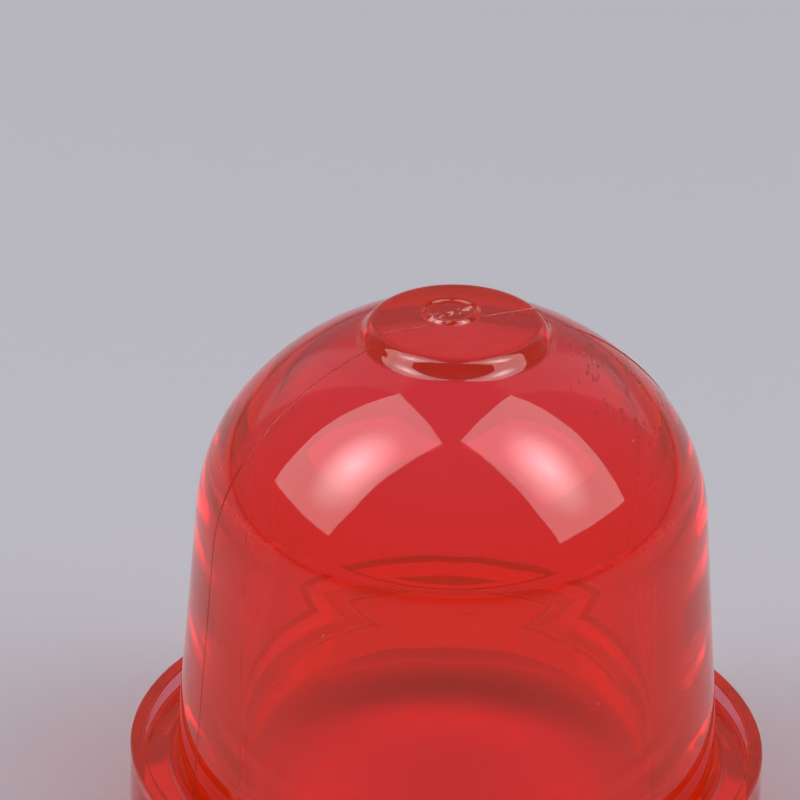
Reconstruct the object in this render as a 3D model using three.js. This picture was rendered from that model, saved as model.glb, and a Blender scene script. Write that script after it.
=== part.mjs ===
// Primer bulb of a small petrol engine: one moulded piece of clear red polyurethane.
// Millimetres, +Z up. The origin is at the centre of the face that the flange rests on.

import * as THREE from 'three';

// Flange: a thin standing rim, carried partway up by a flat web.
const FLANGE_RADIUS = 13.5;
const RIM_WIDTH = 0.6;
const RIM_HEIGHT = 4.1;
const RIM_EDGE_ROUND = 0.1;
const WEB_TOP = 3.3;

// Wall: a cone with the draft that lets it leave the mould.
const WALL_FOOT_RADIUS = 11.6;
const WALL_TOP_RADIUS = 10.8;
const WALL_TOP = 15.4;
const FOOT_FILLET = 0.45;

// Dome: a shoulder arc above the wall, then a wider cap arc centred on the axis.
const SHOULDER_ARC = 8.0;
const CAP_ARC = 11.5;

// Button: a flat disc on the crown, which the thumb presses.
const BUTTON_RADIUS = 3.6;
const BUTTON_TOP = 24.25;
const BUTTON_DRAFT = THREE.MathUtils.degToRad(32);
const BUTTON_EDGE_ROUND = 0.6;
const BUTTON_FILLET = 0.8;

// Inside: a mouth that flares to the rim's foot, a straight bore, and a shoulder and a cap of its own.
const BORE_RADIUS = 9.05;
const BORE_ABOVE_WALL = 0.13;
const MOUTH_HEIGHT = 3.1;
const MOUTH_ROUND = 0.6;
const INNER_SHOULDER_ARC = 7.1;
const INNER_CAP_ARC = 12.4;

// Facets: steps round the axis, and the angle of one step along a large or a small arc.
const TURN_STEPS = 64;
const ARC_STEP = THREE.MathUtils.degToRad(8);
const SMALL_ARC_STEP = THREE.MathUtils.degToRad(20);

// The material's colour and gloss.
const CLEAR_RED = '#d0382f';
const ROUGHNESS = 0.15;

// The profile lies in the plane of radius and height.
function point(radius, height) {
  return new THREE.Vector2(radius, height);
}

// Unit vector at an angle above the outward direction.
function direction(angle) {
  return point(Math.cos(angle), Math.sin(angle));
}

// Points on an arc about a centre, from one angle to another, both ends included.
function arc(centre, radius, from, to, step) {
  const count = Math.max(1, Math.round(Math.abs(to - from) / step));
  const points = [];
  for (let i = 0; i <= count; i += 1) {
    const angle = from + (to - from) * (i / count);
    points.push(centre.clone().addScaledVector(direction(angle), radius));
  }
  return points;
}

// The wall leans in by this angle.
const wallDraft = Math.atan2(WALL_FOOT_RADIUS - WALL_TOP_RADIUS, WALL_TOP - WEB_TOP);

// The shoulder arc leaves the top of the wall without a kink.
const wallTop = point(WALL_TOP_RADIUS, WALL_TOP);
const shoulderCentre = wallTop.clone().addScaledVector(direction(wallDraft), -SHOULDER_ARC);

// The cap arc takes over where both arcs have one tangent.
const capDrop = Math.sqrt((CAP_ARC - SHOULDER_ARC) ** 2 - shoulderCentre.x ** 2);
const capCentre = point(0, shoulderCentre.y - capDrop);
const blendAngle = Math.atan2(capDrop, shoulderCentre.x);

// Button: flat top, rounded edge, leaning side, and a fillet that runs into the cap arc.
function buttonPoints() {
  const outward = direction(BUTTON_DRAFT);
  const downSide = point(outward.y, -outward.x);
  const corner = point(BUTTON_RADIUS, BUTTON_TOP);
  const edgeInset = (BUTTON_EDGE_ROUND * (1 - outward.y)) / outward.x;
  const edgeCentre = point(BUTTON_RADIUS - edgeInset, BUTTON_TOP - BUTTON_EDGE_ROUND);
  const edge = arc(edgeCentre, BUTTON_EDGE_ROUND, Math.PI / 2, BUTTON_DRAFT, SMALL_ARC_STEP);

  // The fillet's centre is one fillet radius off the side and off the cap arc.
  const start = corner.clone().addScaledVector(outward, BUTTON_FILLET).sub(capCentre);
  const along = start.dot(downSide);
  const reach = CAP_ARC + BUTTON_FILLET;
  const travel = -along - Math.sqrt(along ** 2 - start.lengthSq() + reach ** 2);
  const offset = start.clone().addScaledVector(downSide, travel);
  const filletCentre = capCentre.clone().add(offset);
  const capEnd = offset.angle();
  const fillet = arc(
    filletCentre,
    BUTTON_FILLET,
    Math.PI + BUTTON_DRAFT,
    Math.PI + capEnd,
    SMALL_ARC_STEP,
  );
  return { points: [point(0, BUTTON_TOP), ...edge, ...fillet], capEnd };
}

// Dome and wall: from the foot of the button down to the top of the wall.
function domePoints(capEnd) {
  return [
    ...arc(capCentre, CAP_ARC, capEnd, blendAngle, ARC_STEP).slice(1),
    ...arc(shoulderCentre, SHOULDER_ARC, blendAngle, wallDraft, ARC_STEP).slice(1),
  ];
}

// Foot of the wall: a fillet that touches the leaning wall and the flat web.
function footPoints() {
  const lean = direction(wallDraft);
  const inset = (FOOT_FILLET * (1 - lean.y)) / lean.x;
  const centre = point(WALL_FOOT_RADIUS + inset, WEB_TOP + FOOT_FILLET);
  return arc(centre, FOOT_FILLET, Math.PI + wallDraft, 1.5 * Math.PI, SMALL_ARC_STEP);
}

// Rim: up its inside from the web, over the rounded top edges, and down its outside.
function rimPoints() {
  const inner = FLANGE_RADIUS - RIM_WIDTH;
  const edgeHeight = RIM_HEIGHT - RIM_EDGE_ROUND;
  const innerEdge = point(inner + RIM_EDGE_ROUND, edgeHeight);
  const outerEdge = point(FLANGE_RADIUS - RIM_EDGE_ROUND, edgeHeight);
  return [
    point(inner, WEB_TOP),
    ...arc(innerEdge, RIM_EDGE_ROUND, Math.PI, Math.PI / 2, SMALL_ARC_STEP),
    ...arc(outerEdge, RIM_EDGE_ROUND, Math.PI / 2, 0, SMALL_ARC_STEP),
    point(FLANGE_RADIUS, 0),
  ];
}

// Mouth: from the inner edge of the rim's foot up a cone, and round into the bore.
function mouthPoints() {
  const foot = point(FLANGE_RADIUS - RIM_WIDTH, 0);
  const slope = Math.atan2(MOUTH_HEIGHT, foot.x - BORE_RADIUS);
  const tangent = MOUTH_ROUND * Math.tan((Math.PI / 2 - slope) / 2);
  const centre = point(BORE_RADIUS + MOUTH_ROUND, MOUTH_HEIGHT + tangent);
  return [foot, ...arc(centre, MOUTH_ROUND, 1.5 * Math.PI - slope, Math.PI, SMALL_ARC_STEP)];
}

// Inside: from the top of the bore along the inner shoulder and the inner cap, up to the axis.
function insidePoints() {
  const shoulder = point(BORE_RADIUS - INNER_SHOULDER_ARC, WALL_TOP + BORE_ABOVE_WALL);
  const drop = Math.sqrt((INNER_CAP_ARC - INNER_SHOULDER_ARC) ** 2 - shoulder.x ** 2);
  const cap = point(0, shoulder.y - drop);
  const blend = Math.atan2(drop, shoulder.x);
  return [
    ...arc(shoulder, INNER_SHOULDER_ARC, 0, blend, ARC_STEP),
    ...arc(cap, INNER_CAP_ARC, blend, Math.PI / 2, ARC_STEP).slice(1),
  ];
}

// The whole section, from the axis over the outside and back along the inside to the axis.
// It is handed over in reverse, because the turned faces then point outwards.
function sectionPoints() {
  const button = buttonPoints();
  const points = [
    ...button.points,
    ...domePoints(button.capEnd),
    ...footPoints(),
    ...rimPoints(),
    ...mouthPoints(),
    ...insidePoints(),
  ];
  points[points.length - 1].x = 0;
  return points.reverse();
}

function primerBulb() {
  const geometry = new THREE.LatheGeometry(sectionPoints(), TURN_STEPS);
  geometry.rotateX(Math.PI / 2);
  const material = new THREE.MeshStandardMaterial({ color: CLEAR_RED, roughness: ROUGHNESS });
  const mesh = new THREE.Mesh(geometry, material);
  mesh.name = 'primer_bulb';
  return mesh;
}

const part = new THREE.Group();
part.add(primerBulb());

export default part;
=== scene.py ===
import math

import bpy
import numpy as np
from mathutils import Matrix, Vector


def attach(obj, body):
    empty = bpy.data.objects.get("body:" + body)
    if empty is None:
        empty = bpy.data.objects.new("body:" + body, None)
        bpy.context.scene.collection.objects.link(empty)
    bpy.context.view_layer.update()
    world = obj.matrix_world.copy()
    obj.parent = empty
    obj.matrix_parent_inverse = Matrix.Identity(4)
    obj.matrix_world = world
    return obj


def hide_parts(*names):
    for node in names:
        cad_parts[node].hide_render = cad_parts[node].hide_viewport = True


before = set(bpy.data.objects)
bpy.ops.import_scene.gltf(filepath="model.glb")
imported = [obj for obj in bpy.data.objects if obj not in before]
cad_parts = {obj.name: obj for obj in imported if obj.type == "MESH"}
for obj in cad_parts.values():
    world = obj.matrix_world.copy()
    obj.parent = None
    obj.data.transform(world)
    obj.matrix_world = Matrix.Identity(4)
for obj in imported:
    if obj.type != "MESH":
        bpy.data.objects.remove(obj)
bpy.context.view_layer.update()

# Camera.
# It stands in front of the bulb and looks down on it by 28.5 degrees, from 0.4 m away, with a long lens.
# The bulb stands low in the picture, so the camera is aimed above it and keeps no shift.

MM = 0.001
PICTURE_WIDTH = 800
SENSOR_WIDTH = 36.0
CAMERA_DISTANCE = 400 * MM
CAMERA_TILT = math.radians(28.51)
CAMERA_ROLL = math.radians(1.39)
AIM_POINT = Vector((0, 0, 12.1 * MM))
AIM_PIXEL = (450.5, 576.8)
PIXELS_PER_MM = 23.618

focal_pixels = PIXELS_PER_MM * CAMERA_DISTANCE / MM
toward_camera = Vector((0, -math.cos(CAMERA_TILT), math.sin(CAMERA_TILT)))
level_up = Vector((0, math.sin(CAMERA_TILT), math.cos(CAMERA_TILT)))
level_right = Vector((1, 0, 0))
rolled_right = math.cos(CAMERA_ROLL) * level_right + math.sin(CAMERA_ROLL) * level_up
rolled_up = math.cos(CAMERA_ROLL) * level_up - math.sin(CAMERA_ROLL) * level_right
looking_at_aim = Matrix((rolled_right, rolled_up, toward_camera)).transposed()
half_picture = PICTURE_WIDTH / 2
aim_ray = Vector((AIM_PIXEL[0] - half_picture, half_picture - AIM_PIXEL[1], -focal_pixels))
turned_to_pixel = aim_ray.normalized().rotation_difference(Vector((0, 0, -1))).to_matrix()

camera_data = bpy.data.cameras.new("camera")
camera_data.sensor_width = SENSOR_WIDTH
camera_data.lens = focal_pixels * SENSOR_WIDTH / PICTURE_WIDTH
camera_data.clip_start = 0.01
camera_data.dof.use_dof = False
camera = bpy.data.objects.new("camera", camera_data)
bpy.context.scene.collection.objects.link(camera)
camera.matrix_world = (looking_at_aim @ turned_to_pixel).to_4x4()
camera.location = AIM_POINT + CAMERA_DISTANCE * toward_camera
bpy.context.scene.camera = camera


# Table.
# A smooth sheet of pale lilac-grey card that fills the picture behind the bulb.

TABLE_RADIUS = 1.9
TABLE_FIRST_RING = 0.02
TABLE_RINGS = 12
TABLE_STEPS = 96
TABLE_GREY = (0.327, 0.322, 0.354)
AIR_UNDER_FOOT = 0.03 * MM


class Value:
    """A number that changes over a surface. Arithmetic on it adds the Math nodes that work it out."""

    def __init__(self, tree, socket):
        self.tree = tree
        self.socket = socket

    def math(self, operation, *terms):
        node = self.tree.nodes.new("ShaderNodeMath")
        node.operation = operation
        for slot, term in zip(node.inputs, terms):
            if isinstance(term, Value):
                self.tree.links.new(term.socket, slot)
            else:
                slot.default_value = term
        return Value(self.tree, node.outputs[0])

    def __add__(self, other):
        return self.math("ADD", self, other)

    def __radd__(self, other):
        return self.math("ADD", other, self)

    def __sub__(self, other):
        return self.math("SUBTRACT", self, other)

    def __rsub__(self, other):
        return self.math("SUBTRACT", other, self)

    def __mul__(self, other):
        return self.math("MULTIPLY", self, other)

    def __rmul__(self, other):
        return self.math("MULTIPLY", other, self)

    def __truediv__(self, other):
        return self.math("DIVIDE", self, other)

    def __pow__(self, other):
        return self.math("POWER", self, other)

    def size(self):
        return self.math("ABSOLUTE", self)

    def root(self):
        return self.math("SQRT", self)

    def least(self, other):
        return self.math("MINIMUM", self, other)

    def most(self, other):
        return self.math("MAXIMUM", self, other)

    def ramp(self, low, high):
        """0 below low and 1 above high, with a smooth climb between. It falls if high is the lower."""
        node = self.tree.nodes.new("ShaderNodeMapRange")
        node.interpolation_type = "SMOOTHSTEP"
        rising = low < high
        settings = {"From Min": min(low, high), "From Max": max(low, high)}
        settings["To Min"] = 0.0 if rising else 1.0
        settings["To Max"] = 1.0 if rising else 0.0
        for name, number in settings.items():
            node.inputs[name].default_value = number
        self.tree.links.new(self.socket, node.inputs["Value"])
        return Value(self.tree, node.outputs["Result"])


class Finish:
    """The node tree of one material, lamp or sky. Its node method adds what isn't plain arithmetic."""

    def __init__(self, owner):
        owner.use_nodes = True
        self.tree = owner.node_tree
        self.tree.nodes.clear()

    def node(self, kind, settings=None, sockets=None, output=0):
        node = self.tree.nodes.new(kind)
        for name, setting in (settings or {}).items():
            setattr(node, name, setting)
        for name, given in (sockets or {}).items():
            if isinstance(given, Value):
                self.tree.links.new(given.socket, node.inputs[name])
            else:
                node.inputs[name].default_value = given
        return Value(self.tree, node.outputs[output]) if node.outputs else node

    def parts(self, vector):
        """The three numbers of a vector."""
        node = self.tree.nodes.new("ShaderNodeSeparateXYZ")
        self.tree.links.new(vector.socket, node.inputs[0])
        return [Value(self.tree, socket) for socket in node.outputs]


def disc(name, radii, steps, height):
    """A flat round sheet: rings of points at the given radii round a centre point, all at one height."""
    turn = np.linspace(0, 2 * np.pi, steps, endpoint=False)
    rings = np.stack([np.outer(radii, np.cos(turn)), np.outer(radii, np.sin(turn))], -1).reshape(-1, 2)
    flat = np.concatenate([np.zeros((1, 2)), rings])
    points = np.column_stack([flat, np.full(len(flat), height)])
    here = np.arange(steps)
    after = np.roll(here, -1)
    middle = np.column_stack([np.zeros(steps, int), here + 1, after + 1])
    inner = (np.arange(len(radii) - 1) * steps)[:, None] + 1
    corners = [inner + here, inner + steps + here, inner + steps + after, inner + after]
    bands = np.stack(corners, -1).reshape(-1, 4)
    mesh = bpy.data.meshes.new(name)
    mesh.from_pydata(points.tolist(), [], middle.tolist() + bands.tolist())
    sheet = bpy.data.objects.new(name, mesh)
    bpy.context.scene.collection.objects.link(sheet)
    return sheet


table_rings = np.geomspace(TABLE_FIRST_RING, TABLE_RADIUS, TABLE_RINGS)
table = disc("table_top", table_rings, TABLE_STEPS, -AIR_UNDER_FOOT)
lilac_card = bpy.data.materials.new("lilac_grey_card")
finish = Finish(lilac_card)
matt = finish.node(
    "ShaderNodeBsdfPrincipled",
    sockets={"Base Color": (*TABLE_GREY, 1), "Roughness": 0.7, "Specular IOR Level": 0.2},
)
finish.node("ShaderNodeOutputMaterial", sockets={"Surface": matt})
table.data.materials.append(lilac_card)


# Studio.
# Two upright softboxes stand left and right of the camera and lean over the bulb, each with one bright spot.
# The room round them is a dim grey, with a paler card behind the bulb on each side. A card's angles, in
# degrees, are where it starts, where it is full, where it starts to fade and where it ends.

SOFTBOXES = {
    "softbox_left": {
        "centre": (-253, -8, 359),
        "across": (0.475, -0.868, -0.145),
        "along": (0.539, 0.247, 0.806),
        "size": (317, 479),
        "bright_spot": (0.7, 0.42),
    },
    "softbox_right": {
        "centre": (243, -30, 361),
        "across": (0.52, 0.853, 0.049),
        "along": (-0.537, 0.357, 0.764),
        "size": (310, 486),
        "bright_spot": (0.38, 0.44),
    },
}
SOFTBOX_RIM_GLOW = 2.2
SOFTBOX_HEART_GLOW = 7.6
HEART_REACH = 0.36
HEART_FALL = 1.5
UNIT_GLOW_WATTS = 4
ROOM_GREY = (0.3, 0.3, 0.31)
CARD_GLOW = 0.3
CARD_TURN = (24, 28, 45, 48)
CARD_RISE = (8, 12, 62, 68)

for name, box in SOFTBOXES.items():
    lamp = bpy.data.lights.new(name, "AREA")
    lamp.shape = "RECTANGLE"
    lamp.size = box["size"][0] * MM
    lamp.size_y = box["size"][1] * MM
    lamp.energy = UNIT_GLOW_WATTS * lamp.size * lamp.size_y
    finish = Finish(lamp)
    u, v, _ = finish.parts(finish.node("ShaderNodeNewGeometry", output="Parametric"))
    spot_u, spot_v = box["bright_spot"]
    far = (((u - spot_u) * (u - spot_u)) + ((v - spot_v) * (v - spot_v))).root()
    glow = SOFTBOX_RIM_GLOW + SOFTBOX_HEART_GLOW * (1 - far / HEART_REACH).most(0) ** HEART_FALL
    light = finish.node("ShaderNodeEmission", sockets={"Color": (1, 1, 1, 1), "Strength": glow})
    finish.node("ShaderNodeOutputLight", sockets={"Surface": light})
    across = Vector(box["across"]).normalized()
    away = across.cross(Vector(box["along"])).normalized()
    along = away.cross(across)
    stand = bpy.data.objects.new(name, lamp)
    bpy.context.scene.collection.objects.link(stand)
    stand.matrix_world = Matrix((across, along, away)).transposed().to_4x4()
    stand.location = Vector(box["centre"]) * MM

room = bpy.data.worlds.new("room")
bpy.context.scene.world = room
finish = Finish(room)
x, y, z = finish.parts(finish.node("ShaderNodeTexCoord", output="Generated"))
turn_off_back = y.math("ARCTAN2", x.size(), y) * math.degrees(1)
rise = z.math("ARCSINE", z) * math.degrees(1)
low, full_low, full_high, high = CARD_TURN
card_beside = turn_off_back.ramp(low, full_low) * turn_off_back.ramp(high, full_high)
low, full_low, full_high, high = CARD_RISE
card_glow = CARD_GLOW * card_beside * rise.ramp(low, full_low) * rise.ramp(high, full_high)
room_parts = {part: card_glow + grey for part, grey in zip(("Red", "Green", "Blue"), ROOM_GREY)}
glow = finish.node("ShaderNodeCombineColor", sockets=room_parts)
sky = finish.node("ShaderNodeBackground", sockets={"Color": glow, "Strength": 1.0})
finish.node("ShaderNodeOutputWorld", sockets={"Surface": sky})

scene = bpy.context.scene
scene.view_settings.view_transform = "Standard"
scene.view_settings.look = "None"
scene.cycles.max_bounces = 12
scene.cycles.transmission_bounces = 12
scene.cycles.glossy_bounces = 12
scene.cycles.diffuse_bounces = 4
scene.cycles.blur_glossy = 0.0
scene.cycles.caustics_refractive = True
scene.cycles.caustics_reflective = True


# Primer bulb.
# One shot of clear red polyurethane: a button on a dome, a drafted wall, and a flange with a standing rim.
# It is hollow from below, and the glossy skin of the polished mould shows inside and out.

FLANGE_RADIUS = 13.5
RIM_WIDTH = 0.6
RIM_HEIGHT = 4.1
RIM_EDGE_ROUND = 0.1
WEB_TOP = 3.3
WALL_FOOT_RADIUS = 11.6
WALL_TOP_RADIUS = 10.8
WALL_TOP = 15.4
FOOT_FILLET = 0.45
SHOULDER_ARC = 8.0
CAP_ARC = 11.5
BUTTON_RADIUS = 3.6
BUTTON_TOP = 24.25
BUTTON_DRAFT = math.radians(32)
BUTTON_EDGE_ROUND = 0.6
BUTTON_FILLET = 0.8
BORE_RADIUS = 9.05
BORE_ABOVE_WALL = 0.13
INNER_SHOULDER_ARC = 7.1
INNER_CAP_ARC = 12.4
WITNESS_HEIGHT = 16.5
WITNESS_WIDTH = 0.05
WITNESS_STEP = 0.03
MOUTH_HEIGHT = 3.1
MOUTH_ROUND = 0.6

GATE_CENTRE = (-0.24, 0.84)
GATE_RADIUS = 1.13
GROOVE_DEPTH = 0.11
GROOVE_WIDTH = 0.09
COLLAR_INSET = 0.2
COLLAR_HEIGHT = 0.05
COLLAR_WIDTH = 0.08
PARTING_TURN = math.radians(23)
PARTING_HALF_WIDTH = 0.04
PARTING_HEIGHT = 0.025
PARTING_FIRST_RADIUS = 1.2
PARTING_ABOVE_WEB = 0.1

gate_rows = np.arange(0.05, 2.3, 0.05)
ROWS_BESIDE_GATE = 8
TOP_ROWS = len(gate_rows) + ROWS_BESIDE_GATE
EVEN_TURNS = 336
FIRST_TURN = math.radians(0.5)
TURNS_BESIDE_PARTING = (-0.5, -0.35, -0.22, -0.12, -0.05, 0.05, 0.12, 0.22, 0.35, 0.5)


def arc(centre, radius, start, stop, count):
    """Points on an arc: centre + radius * (cos a, sin a), for count angles a from start to stop."""
    a = np.linspace(start, stop, count)
    return np.column_stack([centre[0] + radius * np.cos(a), centre[1] + radius * np.sin(a)])


def straight(start, stop, count):
    """Points on a line from start to stop, without its two ends."""
    share = np.linspace(0, 1, count + 2)[1:-1, None]
    return np.array(start) * (1 - share) + np.array(stop) * share


def rounded(corners, radius, count):
    """A path through corners whose inner ones are rounded: each turn of angle w becomes an arc that starts
    and ends radius * tan(w / 2) from its corner."""
    path = [np.array([corners[0]], float)]
    for before, corner, after in zip(corners, corners[1:], corners[2:]):
        into = np.subtract(corner, before) / np.linalg.norm(np.subtract(corner, before))
        out = np.subtract(after, corner) / np.linalg.norm(np.subtract(after, corner))
        turn = math.atan2(into[0] * out[1] - into[1] * out[0], into @ out)
        side = math.copysign(1, turn)
        start = corner - into * radius * math.tan(abs(turn) / 2)
        centre = start + side * radius * np.array([-into[1], into[0]])
        first = math.atan2(*(start - centre)[::-1])
        path.append(arc(centre, radius, first, first + turn, count))
    path.append(np.array([corners[-1]], float))
    return np.concatenate(path)


def outer_profile():
    """The button, dome, wall and foot, from near the axis to the web. Every arc touches the next one."""
    draft = math.atan2(WALL_FOOT_RADIUS - WALL_TOP_RADIUS, WALL_TOP - WEB_TOP)
    lean = np.array([math.cos(draft), math.sin(draft)])
    shoulder_centre = np.array([WALL_TOP_RADIUS, WALL_TOP]) - SHOULDER_ARC * lean
    cap_drop = math.sqrt((CAP_ARC - SHOULDER_ARC) ** 2 - shoulder_centre[0] ** 2)
    cap_centre = np.array([0, shoulder_centre[1] - cap_drop])
    blend = math.atan2(cap_drop, shoulder_centre[0])

    outward = np.array([math.cos(BUTTON_DRAFT), math.sin(BUTTON_DRAFT)])
    down_side = np.array([outward[1], -outward[0]])
    edge_inset = BUTTON_EDGE_ROUND * (1 - outward[1]) / outward[0]
    edge_centre = (BUTTON_RADIUS - edge_inset, BUTTON_TOP - BUTTON_EDGE_ROUND)
    edge = arc(edge_centre, BUTTON_EDGE_ROUND, math.pi / 2, BUTTON_DRAFT, 12)
    start = np.array([BUTTON_RADIUS, BUTTON_TOP]) + BUTTON_FILLET * outward - cap_centre
    reach = CAP_ARC + BUTTON_FILLET
    travel = -(start @ down_side) - math.sqrt((start @ down_side) ** 2 - start @ start + reach ** 2)
    offset = start + travel * down_side
    cap_end = math.atan2(offset[1], offset[0])
    fillet = arc(cap_centre + offset, BUTTON_FILLET, math.pi + BUTTON_DRAFT, math.pi + cap_end, 14)

    fine_top = np.column_stack([gate_rows, np.full(len(gate_rows), BUTTON_TOP)])
    outer_top = straight(fine_top[-1], edge[0], ROWS_BESIDE_GATE)
    cap = arc(cap_centre, CAP_ARC, cap_end, blend, 30)[1:]
    shoulder = arc(shoulder_centre, SHOULDER_ARC, blend, draft, 30)[1:]
    foot_inset = FOOT_FILLET * (1 - lean[1]) / lean[0]
    foot_centre = (WALL_FOOT_RADIUS + foot_inset, WEB_TOP + FOOT_FILLET)
    foot = arc(foot_centre, FOOT_FILLET, math.pi + draft, 1.5 * math.pi, 14)
    wall = straight(shoulder[-1], foot[0], 4)
    path = [fine_top, outer_top, edge, fillet, cap, shoulder, wall, foot]
    return np.concatenate(path)


def flange_profile(last):
    """The web, the rim and its flat foot, from the foot of the wall to the start of the flared mouth."""
    inner = FLANGE_RADIUS - RIM_WIDTH
    corners = [
        last,
        (inner, WEB_TOP),
        (inner, RIM_HEIGHT),
        (FLANGE_RADIUS, RIM_HEIGHT),
        (FLANGE_RADIUS, 0),
        (inner, 0),
        (BORE_RADIUS, MOUTH_HEIGHT),
    ]
    return rounded(corners, RIM_EDGE_ROUND, 7)[1:-1]


def inner_profile():
    """The flared mouth, the bore, the inner shoulder arc and the inner cap arc, up to near the axis. Above
    the witness line the dome stands in by a fine step that dies out towards the cap."""
    foot = (FLANGE_RADIUS - RIM_WIDTH, 0)
    shoulder_centre = np.array([BORE_RADIUS - INNER_SHOULDER_ARC, WALL_TOP + BORE_ABOVE_WALL])
    bore_top = (BORE_RADIUS, shoulder_centre[1])
    mouth = rounded([foot, (BORE_RADIUS, MOUTH_HEIGHT), bore_top], MOUTH_ROUND, 12)[1:-1]
    drop = math.sqrt((INNER_CAP_ARC - INNER_SHOULDER_ARC) ** 2 - shoulder_centre[0] ** 2)
    blend = math.atan2(drop, shoulder_centre[0])
    witness = math.asin((WITNESS_HEIGHT - shoulder_centre[1]) / INNER_SHOULDER_ARC)
    below = arc(shoulder_centre, INNER_SHOULDER_ARC, 0, witness - WITNESS_WIDTH / INNER_SHOULDER_ARC, 8)
    above = arc(shoulder_centre, INNER_SHOULDER_ARC, witness, blend, 30)
    above[:, 0] -= WITNESS_STEP * np.linspace(1, 0, len(above))
    cap = arc((0, shoulder_centre[1] - drop), INNER_CAP_ARC, blend, math.pi / 2 - 0.004, 24)[1:]
    bore = straight(mouth[-1], below[0], 4)
    return np.concatenate([mouth, bore, below, above, cap])


def turned(name, profile, turns, first_inner_row, shape):
    """Surface of revolution: (r cos t, r sin t, z) for each profile point (r, z) and each angle t, moved by
    shape and then closed by a fan at the axis above and below. Each point's normal is the cross product of
    its two neighbour-to-neighbour vectors. The attribute inside is 1 from the first inner row on."""
    rows, columns = len(profile), len(turns)
    grid = np.empty((rows, columns, 3))
    grid[..., 0] = profile[:, :1] * np.cos(turns)
    grid[..., 1] = profile[:, :1] * np.sin(turns)
    grid[..., 2] = profile[:, 1:]
    grid = shape(grid)
    down = np.gradient(grid, axis=0)
    round_ = np.roll(grid, -1, 1) - np.roll(grid, 1, 1)
    normals = np.cross(down, round_)
    normals /= np.linalg.norm(normals, axis=-1, keepdims=True)
    poles = np.array([[0, 0, grid[0, :, 2].mean()], [0, 0, grid[-1, :, 2].mean()]])
    points = np.concatenate([grid.reshape(-1, 3), poles])
    normals = np.concatenate([normals.reshape(-1, 3), [[0, 0, 1], [0, 0, -1]]])
    here = np.arange(columns)
    after = np.roll(here, -1)
    first = (np.arange(rows - 1) * columns)[:, None]
    corners = [first + here, first + columns + here, first + columns + after, first + after]
    quads = np.stack(corners, -1).reshape(-1, 4)
    top, bottom = rows * columns, rows * columns + 1
    last = (rows - 1) * columns
    top_fan = np.column_stack([np.full(columns, top), here, after])
    bottom_fan = np.column_stack([np.full(columns, bottom), last + after, last + here])
    mesh = bpy.data.meshes.new(name)
    faces = quads.tolist() + top_fan.tolist() + bottom_fan.tolist()
    mesh.from_pydata((points * MM).tolist(), [], faces)
    mesh.shade_smooth()
    mesh.normals_split_custom_set_from_vertices(normals.tolist())
    is_inside = np.repeat(np.arange(rows) >= first_inner_row, columns)
    marks = mesh.attributes.new("inside", "FLOAT", "POINT")
    marks.data.foreach_set("value", np.append(is_inside, [False, True]).astype(np.float32))
    piece = bpy.data.objects.new(name, mesh)
    bpy.context.scene.collection.objects.link(piece)
    return piece


def moulding_marks(grid):
    """Raises the parting line, a bump of half a cosine across the mould's joint plane, on the outside, and
    sinks and raises the rings that the gate left on the button."""
    x, y, z = grid[..., 0], grid[..., 1], grid[..., 2]
    radius = np.hypot(x, y)
    above_web = z > WEB_TOP + PARTING_ABOVE_WEB
    off_plane = np.abs(x * math.sin(PARTING_TURN) - y * math.cos(PARTING_TURN))
    ridge = PARTING_HEIGHT * 0.5 * (1 + np.cos(np.pi * np.clip(off_plane / PARTING_HALF_WIDTH, 0, 1)))
    rows = np.arange(grid.shape[0])[:, None]
    on_skin = (rows < OUTER_ROWS) & (radius > PARTING_FIRST_RADIUS)
    ridge = np.where(on_skin & above_web, ridge, 0)
    lift = np.zeros_like(grid)
    lift[..., 0] = x / np.maximum(radius, 1e-6) * ridge
    lift[..., 1] = y / np.maximum(radius, 1e-6) * ridge
    lift[..., 2] = ridge * (z > WALL_TOP)
    from_gate = np.hypot(x - GATE_CENTRE[0], y - GATE_CENTRE[1])
    groove = -GROOVE_DEPTH * np.exp(-((from_gate - GATE_RADIUS) / GROOVE_WIDTH) ** 2)
    collar = COLLAR_HEIGHT * np.exp(-((from_gate - GATE_RADIUS + COLLAR_INSET) / COLLAR_WIDTH) ** 2)
    lift[..., 2] += np.where(rows < TOP_ROWS, groove + collar, 0)
    return grid + lift


skin = outer_profile()
OUTER_ROWS = len(skin)
flange = flange_profile(tuple(skin[-1]))
inside = inner_profile()
profile = np.concatenate([skin, flange, inside])
even_turns = np.linspace(0, 2 * np.pi, EVEN_TURNS, endpoint=False)
close = np.radians(np.array(TURNS_BESIDE_PARTING))
near_parting = np.concatenate([PARTING_TURN + close, PARTING_TURN + np.pi + close])
turns = np.unique(np.concatenate([even_turns + FIRST_TURN, near_parting]))
bulb = turned("moulded_bulb", profile, turns, len(skin) + len(flange), moulding_marks)

SKIN_ROUGHNESS = 0.03
BORE_ROUGHNESS = 0.05
HAIRLINE_WIDTH = 0.05
HAIRLINE_FADE = 0.3
HAIRLINE_SHADE = 0.5
HAIRLINE_ROUGHNESS = 0.1
WITNESS_BAND = 0.22
WITNESS_SIDES = (4.6, 6.2)
WITNESS_FRONT = (0.0, -2.0)
SCUFF_TURN = -4.0
SCUFF_REACH = 34.0
SCUFF_HEIGHTS = (18.4, 19.9)
SCUFF_RADII = (4.3, 5.2)
STREAK_TINT = 0.5
STREAK_ROUGHNESS = 0.25
FLECK_ROUGHNESS = 0.4
TEAR_LEAN = (0.45, -0.9)
TEAR_OFFSET = 0.12
TEAR_WIDTHS = (0.3, 0.1)
TEAR_REACHES = (1.35, 1.1)
BUTTON_FACE_HEIGHTS = (BUTTON_TOP - 0.3, BUTTON_TOP - 0.15)
FLECK_GLINT = 0.35
TEAR_GLINT = 0.9
DUST_GLINT = 0.4
# Painted glow: the bulb's emission gives the whole plastic a faint red glow, standing in for light scattered
# inside it.
PAINTED_GLOW_STRENGTH = 0.32
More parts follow.
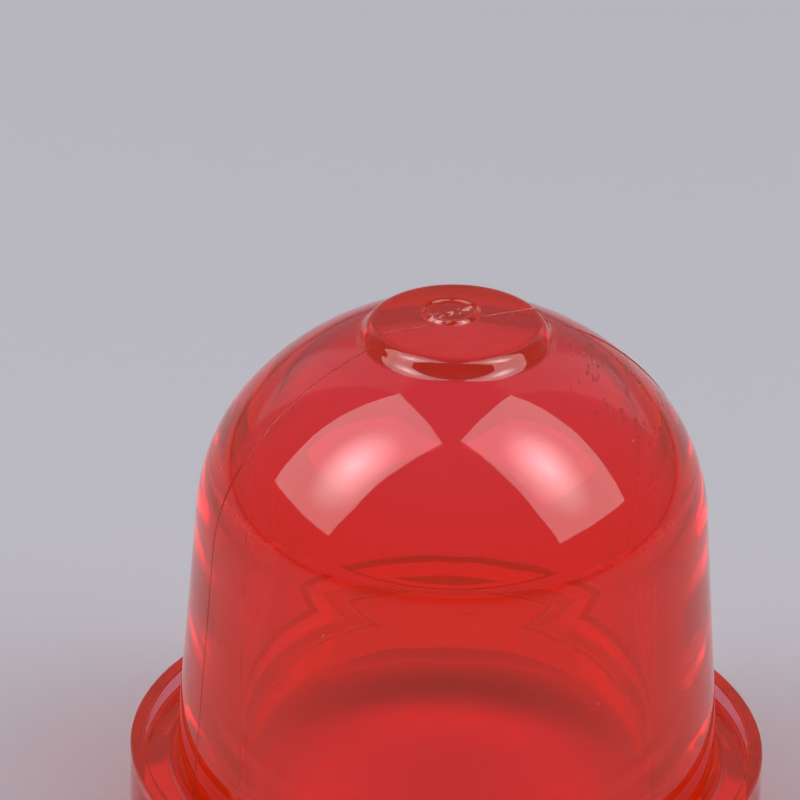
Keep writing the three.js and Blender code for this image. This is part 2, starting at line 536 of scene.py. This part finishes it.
PAINTED_RED_GLOW = (0.1, 0.03, 0.0)
GLINT_COLOUR = (0.8, 0.7, 0.7)
AMBER_FLECK_GLOW = (0.35, 0.22, 0.05)
RIPPLE_DISTANCE = 0.5 * MM
STREAK_HEIGHT = 1.5
FLECK_HEIGHT = 2.0
TEAR_HEIGHT = 3.0
DEEP_RED_TINT = (0.989, 0.007, 0.33, 1)
DEEP_RED_DENSITY = 1400.0

clear_red = bpy.data.materials.new("clear_red_polyurethane")
finish = Finish(clear_red)
place = finish.node("ShaderNodeTexCoord", output="Object")
x, y, z = [part / MM for part in finish.parts(place)]
radius = (x * x + y * y).root()
turn = y.math("ARCTAN2", y, x) * math.degrees(1)
inside_wall = finish.node("ShaderNodeAttribute", {"attribute_name": "inside"}, output="Fac")
skin_only = 1 - inside_wall

# The parting line: a little rougher, and darkened as painted shade standing in for the dark line its ridge
# shows.
off_plane = (x * math.sin(PARTING_TURN) - y * math.cos(PARTING_TURN)).size()
hairline_and_shade = off_plane.ramp(HAIRLINE_WIDTH, 0.4 * HAIRLINE_WIDTH) * skin_only
hairline_and_shade = hairline_and_shade * z.ramp(WEB_TOP, WEB_TOP + HAIRLINE_FADE)


def grain(stretch, scale, low, high):
    """Specks or streaks: a noise, squeezed along each axis by stretch, from none at low to full at high."""
    spread = finish.node("ShaderNodeMapping", sockets={"Vector": place, "Scale": stretch})
    noise = finish.node("ShaderNodeTexNoise", sockets={"Vector": spread, "Scale": scale, "Detail": 2.0})
    return noise.ramp(low, high)


from_scuff = (turn - SCUFF_TURN).size()
scuff_zone = from_scuff.ramp(SCUFF_REACH, 0.5 * SCUFF_REACH) * z.ramp(*SCUFF_HEIGHTS)
scuff_zone = scuff_zone * radius.ramp(*SCUFF_RADII) * skin_only
streaks = grain((1.0, 0.35, 1.6), scale=2600.0, low=0.6, high=0.66) * scuff_zone
scuff_flecks_and_glints = grain((1.0, 0.5, 1.4), scale=4200.0, low=0.7, high=0.74) * scuff_zone

# Flecks along the witness line inside: rougher and raised, and given a painted amber glow below.
from_witness = (z - WITNESS_HEIGHT).size()
at_sides = x.size().ramp(*WITNESS_SIDES) * y.ramp(*WITNESS_FRONT)
witness_fleck_and_glow = from_witness.ramp(WITNESS_BAND, 0.4 * WITNESS_BAND) * inside_wall * at_sides
witness_fleck_and_glow = witness_fleck_and_glow * grain((1.0, 1.0, 2.5), scale=2400.0, low=0.5, high=0.6)
dust_and_glint = grain((1.0, 1.0, 1.0), scale=1500.0, low=0.79, high=0.82) * skin_only

from_gate = ((x - GATE_CENTRE[0]) ** 2 + (y - GATE_CENTRE[1]) ** 2).root()
on_face = z.ramp(*BUTTON_FACE_HEIGHTS) * skin_only
across_gate = (x - GATE_CENTRE[0]) * TEAR_LEAN[0] + (y - GATE_CENTRE[1]) * TEAR_LEAN[1]
torn_mark_and_glint = (across_gate - TEAR_OFFSET).size().ramp(*TEAR_WIDTHS) * from_gate.ramp(*TEAR_REACHES) * on_face
torn_mark_and_glint = torn_mark_and_glint * grain((1.0, 1.0, 1.0), scale=3600.0, low=0.5, high=0.56)

rough_marks = hairline_and_shade * HAIRLINE_ROUGHNESS + streaks * STREAK_ROUGHNESS
rough_marks = rough_marks + (scuff_flecks_and_glints + witness_fleck_and_glow + torn_mark_and_glint + dust_and_glint) * FLECK_ROUGHNESS
wall_roughness = SKIN_ROUGHNESS + (BORE_ROUGHNESS - SKIN_ROUGHNESS) * inside_wall + rough_marks
# Darker along the scuff streaks, and painted shade along the parting line.
scuff_darkening_and_shade = (1 - hairline_and_shade * HAIRLINE_SHADE) * (1 - streaks * STREAK_TINT)
scuff_and_shade_tint = finish.node(
    "ShaderNodeCombineColor", sockets={"Red": scuff_darkening_and_shade, "Green": scuff_darkening_and_shade, "Blue": scuff_darkening_and_shade}
)
# Painted glints: the scuff flecks, the torn gate mark and the dust are made to glow pale, standing in for
# light catching them; their roughness and bumps are real.
painted_glints = (scuff_flecks_and_glints * FLECK_GLINT + torn_mark_and_glint * TEAR_GLINT + dust_and_glint * DUST_GLINT).least(1.0)
# Painted light: a red glow all over, pale painted glints on the flecks, the torn gate mark and the dust, and
# an amber glow on the witness flecks.
glow_parts = {}
for part, base, white, amber in zip(("Red", "Green", "Blue"), PAINTED_RED_GLOW, GLINT_COLOUR, AMBER_FLECK_GLOW):
    glow_parts[part] = base + painted_glints * white + witness_fleck_and_glow * amber
glow = finish.node("ShaderNodeCombineColor", sockets=glow_parts)
ripple = finish.node("ShaderNodeTexNoise", sockets={"Vector": place, "Scale": 350.0, "Detail": 1.0})
raised = ripple + streaks * STREAK_HEIGHT + scuff_flecks_and_glints * FLECK_HEIGHT + witness_fleck_and_glow + torn_mark_and_glint * TEAR_HEIGHT
bumped = finish.node(
    "ShaderNodeBump", sockets={"Strength": 0.03, "Distance": RIPPLE_DISTANCE, "Height": raised}
)
gloss = finish.node(
    "ShaderNodeBsdfPrincipled",
    sockets={
        "Base Color": scuff_and_shade_tint,
        "Roughness": wall_roughness,
        "IOR": 1.5,
        "Transmission Weight": 1.0,
        "Emission Color": glow,
        "Emission Strength": PAINTED_GLOW_STRENGTH,
        "Normal": bumped,
    },
)
tint = finish.node(
    "ShaderNodeVolumeAbsorption", sockets={"Color": DEEP_RED_TINT, "Density": DEEP_RED_DENSITY}
)
finish.node("ShaderNodeOutputMaterial", sockets={"Surface": gloss, "Volume": tint})
bulb.data.materials.append(clear_red)
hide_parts("primer_bulb")
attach(bulb, "root")
